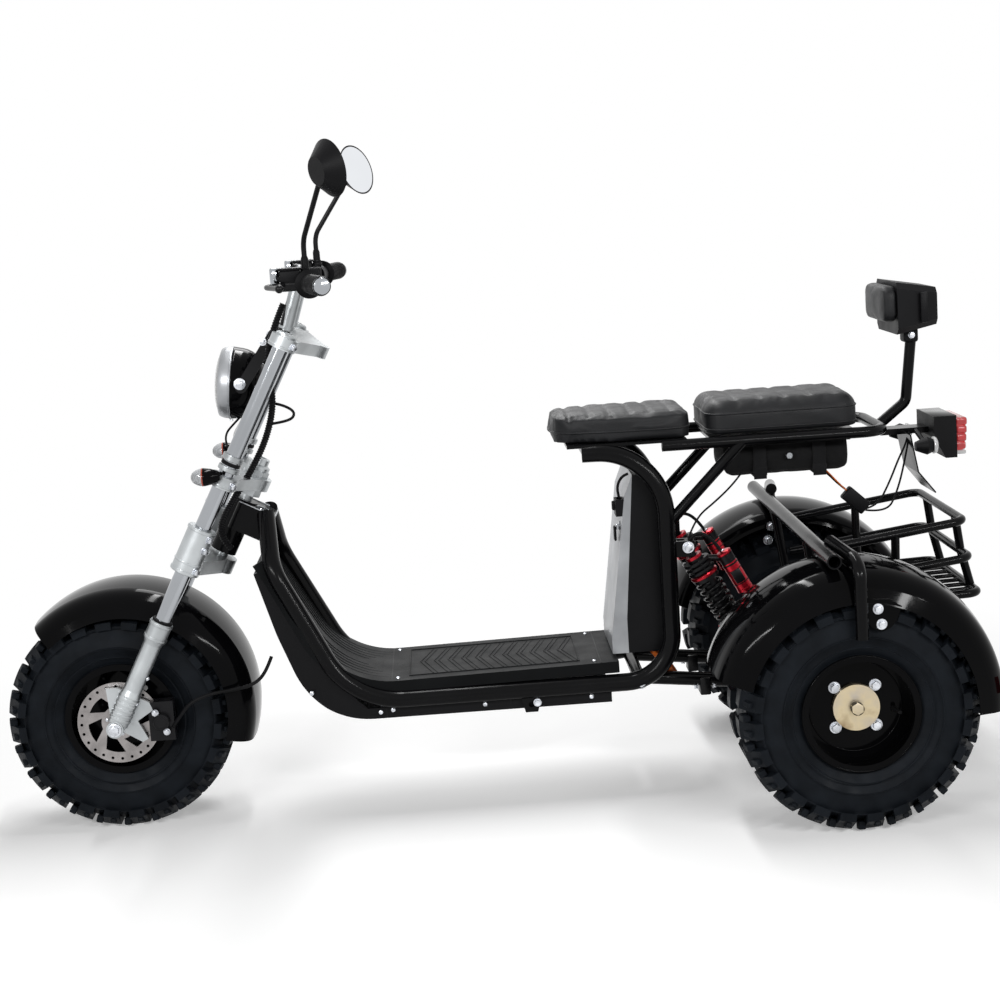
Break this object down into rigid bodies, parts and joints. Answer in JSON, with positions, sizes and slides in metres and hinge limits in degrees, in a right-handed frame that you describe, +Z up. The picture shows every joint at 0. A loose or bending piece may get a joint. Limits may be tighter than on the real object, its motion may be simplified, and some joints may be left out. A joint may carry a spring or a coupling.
{
  "type": "electric trike scooter",
  "caption": "Step-through electric trike scooter with fat knobby tyres, two padded seats, a wire basket and a raked telescopic fork.",
  "frame": {"origin": "on the ground, below the middle of the overall length and width", "axes": "+X forwards, +Y to the driver's left, +Z up"},
  "size_m": [1.974, 0.9746, 1.3453],
  "materials": {
    "bag_fabric": "coarse weave",
    "black_metal": "satin black",
    "black_plastic": "satin black moulding",
    "black_rubber": "matt",
    "cast_aluminium": "bead blasted",
    "chrome": "polished",
    "clear_lens": "clear",
    "deck_plastic": "fine grained moulding",
    "disc_steel": "ground",
    "frame_paint": "gloss black paint",
    "gloss_black": "high gloss black",
    "gold_zinc": "yellow zinc",
    "mirror_glass": "mirror",
    "red_anodised": "anodised red",
    "red_lens": "clear red",
    "seat_leather": "grained, soft sheen",
    "silver_panel": "brushed",
    "tyre_rubber": "matt",
    "zinc_steel": "bright zinc"
  },
  "bodies": {
    "chassis": {"frame_tube_left": "frame_paint", "frame_tube_right": "frame_paint", "frame_crossmembers": "frame_paint", "stand_bracket": "frame_paint", "neck": "frame_paint", "deck_cover": "deck_plastic", "belly_tray": "black_plastic", "battery_case": "black_plastic", "case_panel": "silver_panel", "switch_block": "black_plastic", "seat_frame": "frame_paint", "front_seat": "seat_leather", "rear_seat": "seat_leather", "battery_bag": "bag_fabric", "swingarm": "frame_paint", "rear_axle": "frame_paint", "shocks": "black_metal", "shock_springs": "black_metal", "shock_reservoirs": "red_anodised", "rear_mudguard_left": "gloss_black", "rear_mudguard_right": "gloss_black", "rear_bar": "frame_paint", "rack": "frame_paint", "backrest_post": "frame_paint", "backrest_pad": "seat_leather", "backrest_shell": "black_plastic", "tail_lamp": "black_plastic", "tail_lens": "red_lens", "rear_indicators": "black_plastic"},
    "steering": {"fork_yokes": "cast_aluminium", "fork_tubes": "chrome", "fork_sliders": "cast_aluminium", "front_axle": "zinc_steel", "handlebar": "black_metal", "grips": "black_rubber", "brake_levers": "black_metal", "mirrors": "black_plastic", "mirror_glasses": "mirror_glass", "headlamp_shell": "gloss_black", "headlamp_rim": "chrome", "headlamp_lens": "clear_lens", "headlamp_bracket": "black_metal", "front_indicators": "chrome", "front_mudguard": "gloss_black", "brake_caliper": "black_metal", "caliper_bracket": "cast_aluminium", "brake_hose": "black_rubber", "cable_loom": "black_rubber"},
    "front_wheel": {"front_tyre": "tyre_rubber", "front_rim": "gloss_black", "brake_disc": "disc_steel"},
    "rear_wheel_left": {"rear_tyre_left": "tyre_rubber", "rear_rim_left": "gloss_black", "rear_hub_left": "gold_zinc"},
    "rear_wheel_right": {"rear_tyre_right": "tyre_rubber", "rear_rim_right": "gloss_black", "rear_hub_right": "gold_zinc"}
  },
  "joints": [
    {"name": "steering_head", "type": "hinge", "parent": "chassis", "child": "steering", "pos_m": [0.50828, 0, 0.59302], "axis": [-0.4695, 0, 0.8829], "range_deg": [-40, 40]},
    {"name": "front_wheel_axle", "type": "hinge", "parent": "steering", "child": "front_wheel", "pos_m": [0.759, 0, 0.228], "axis": [0, 1, 0], "continuous": true},
    {"name": "rear_wheel_left_axle", "type": "hinge", "parent": "chassis", "child": "rear_wheel_left", "pos_m": [-0.671, 0.35, 0.228], "axis": [0, 1, 0], "continuous": true},
    {"name": "rear_wheel_right_axle", "type": "hinge", "parent": "chassis", "child": "rear_wheel_right", "pos_m": [-0.671, -0.35, 0.228], "axis": [0, 1, 0], "continuous": true}
  ]
}
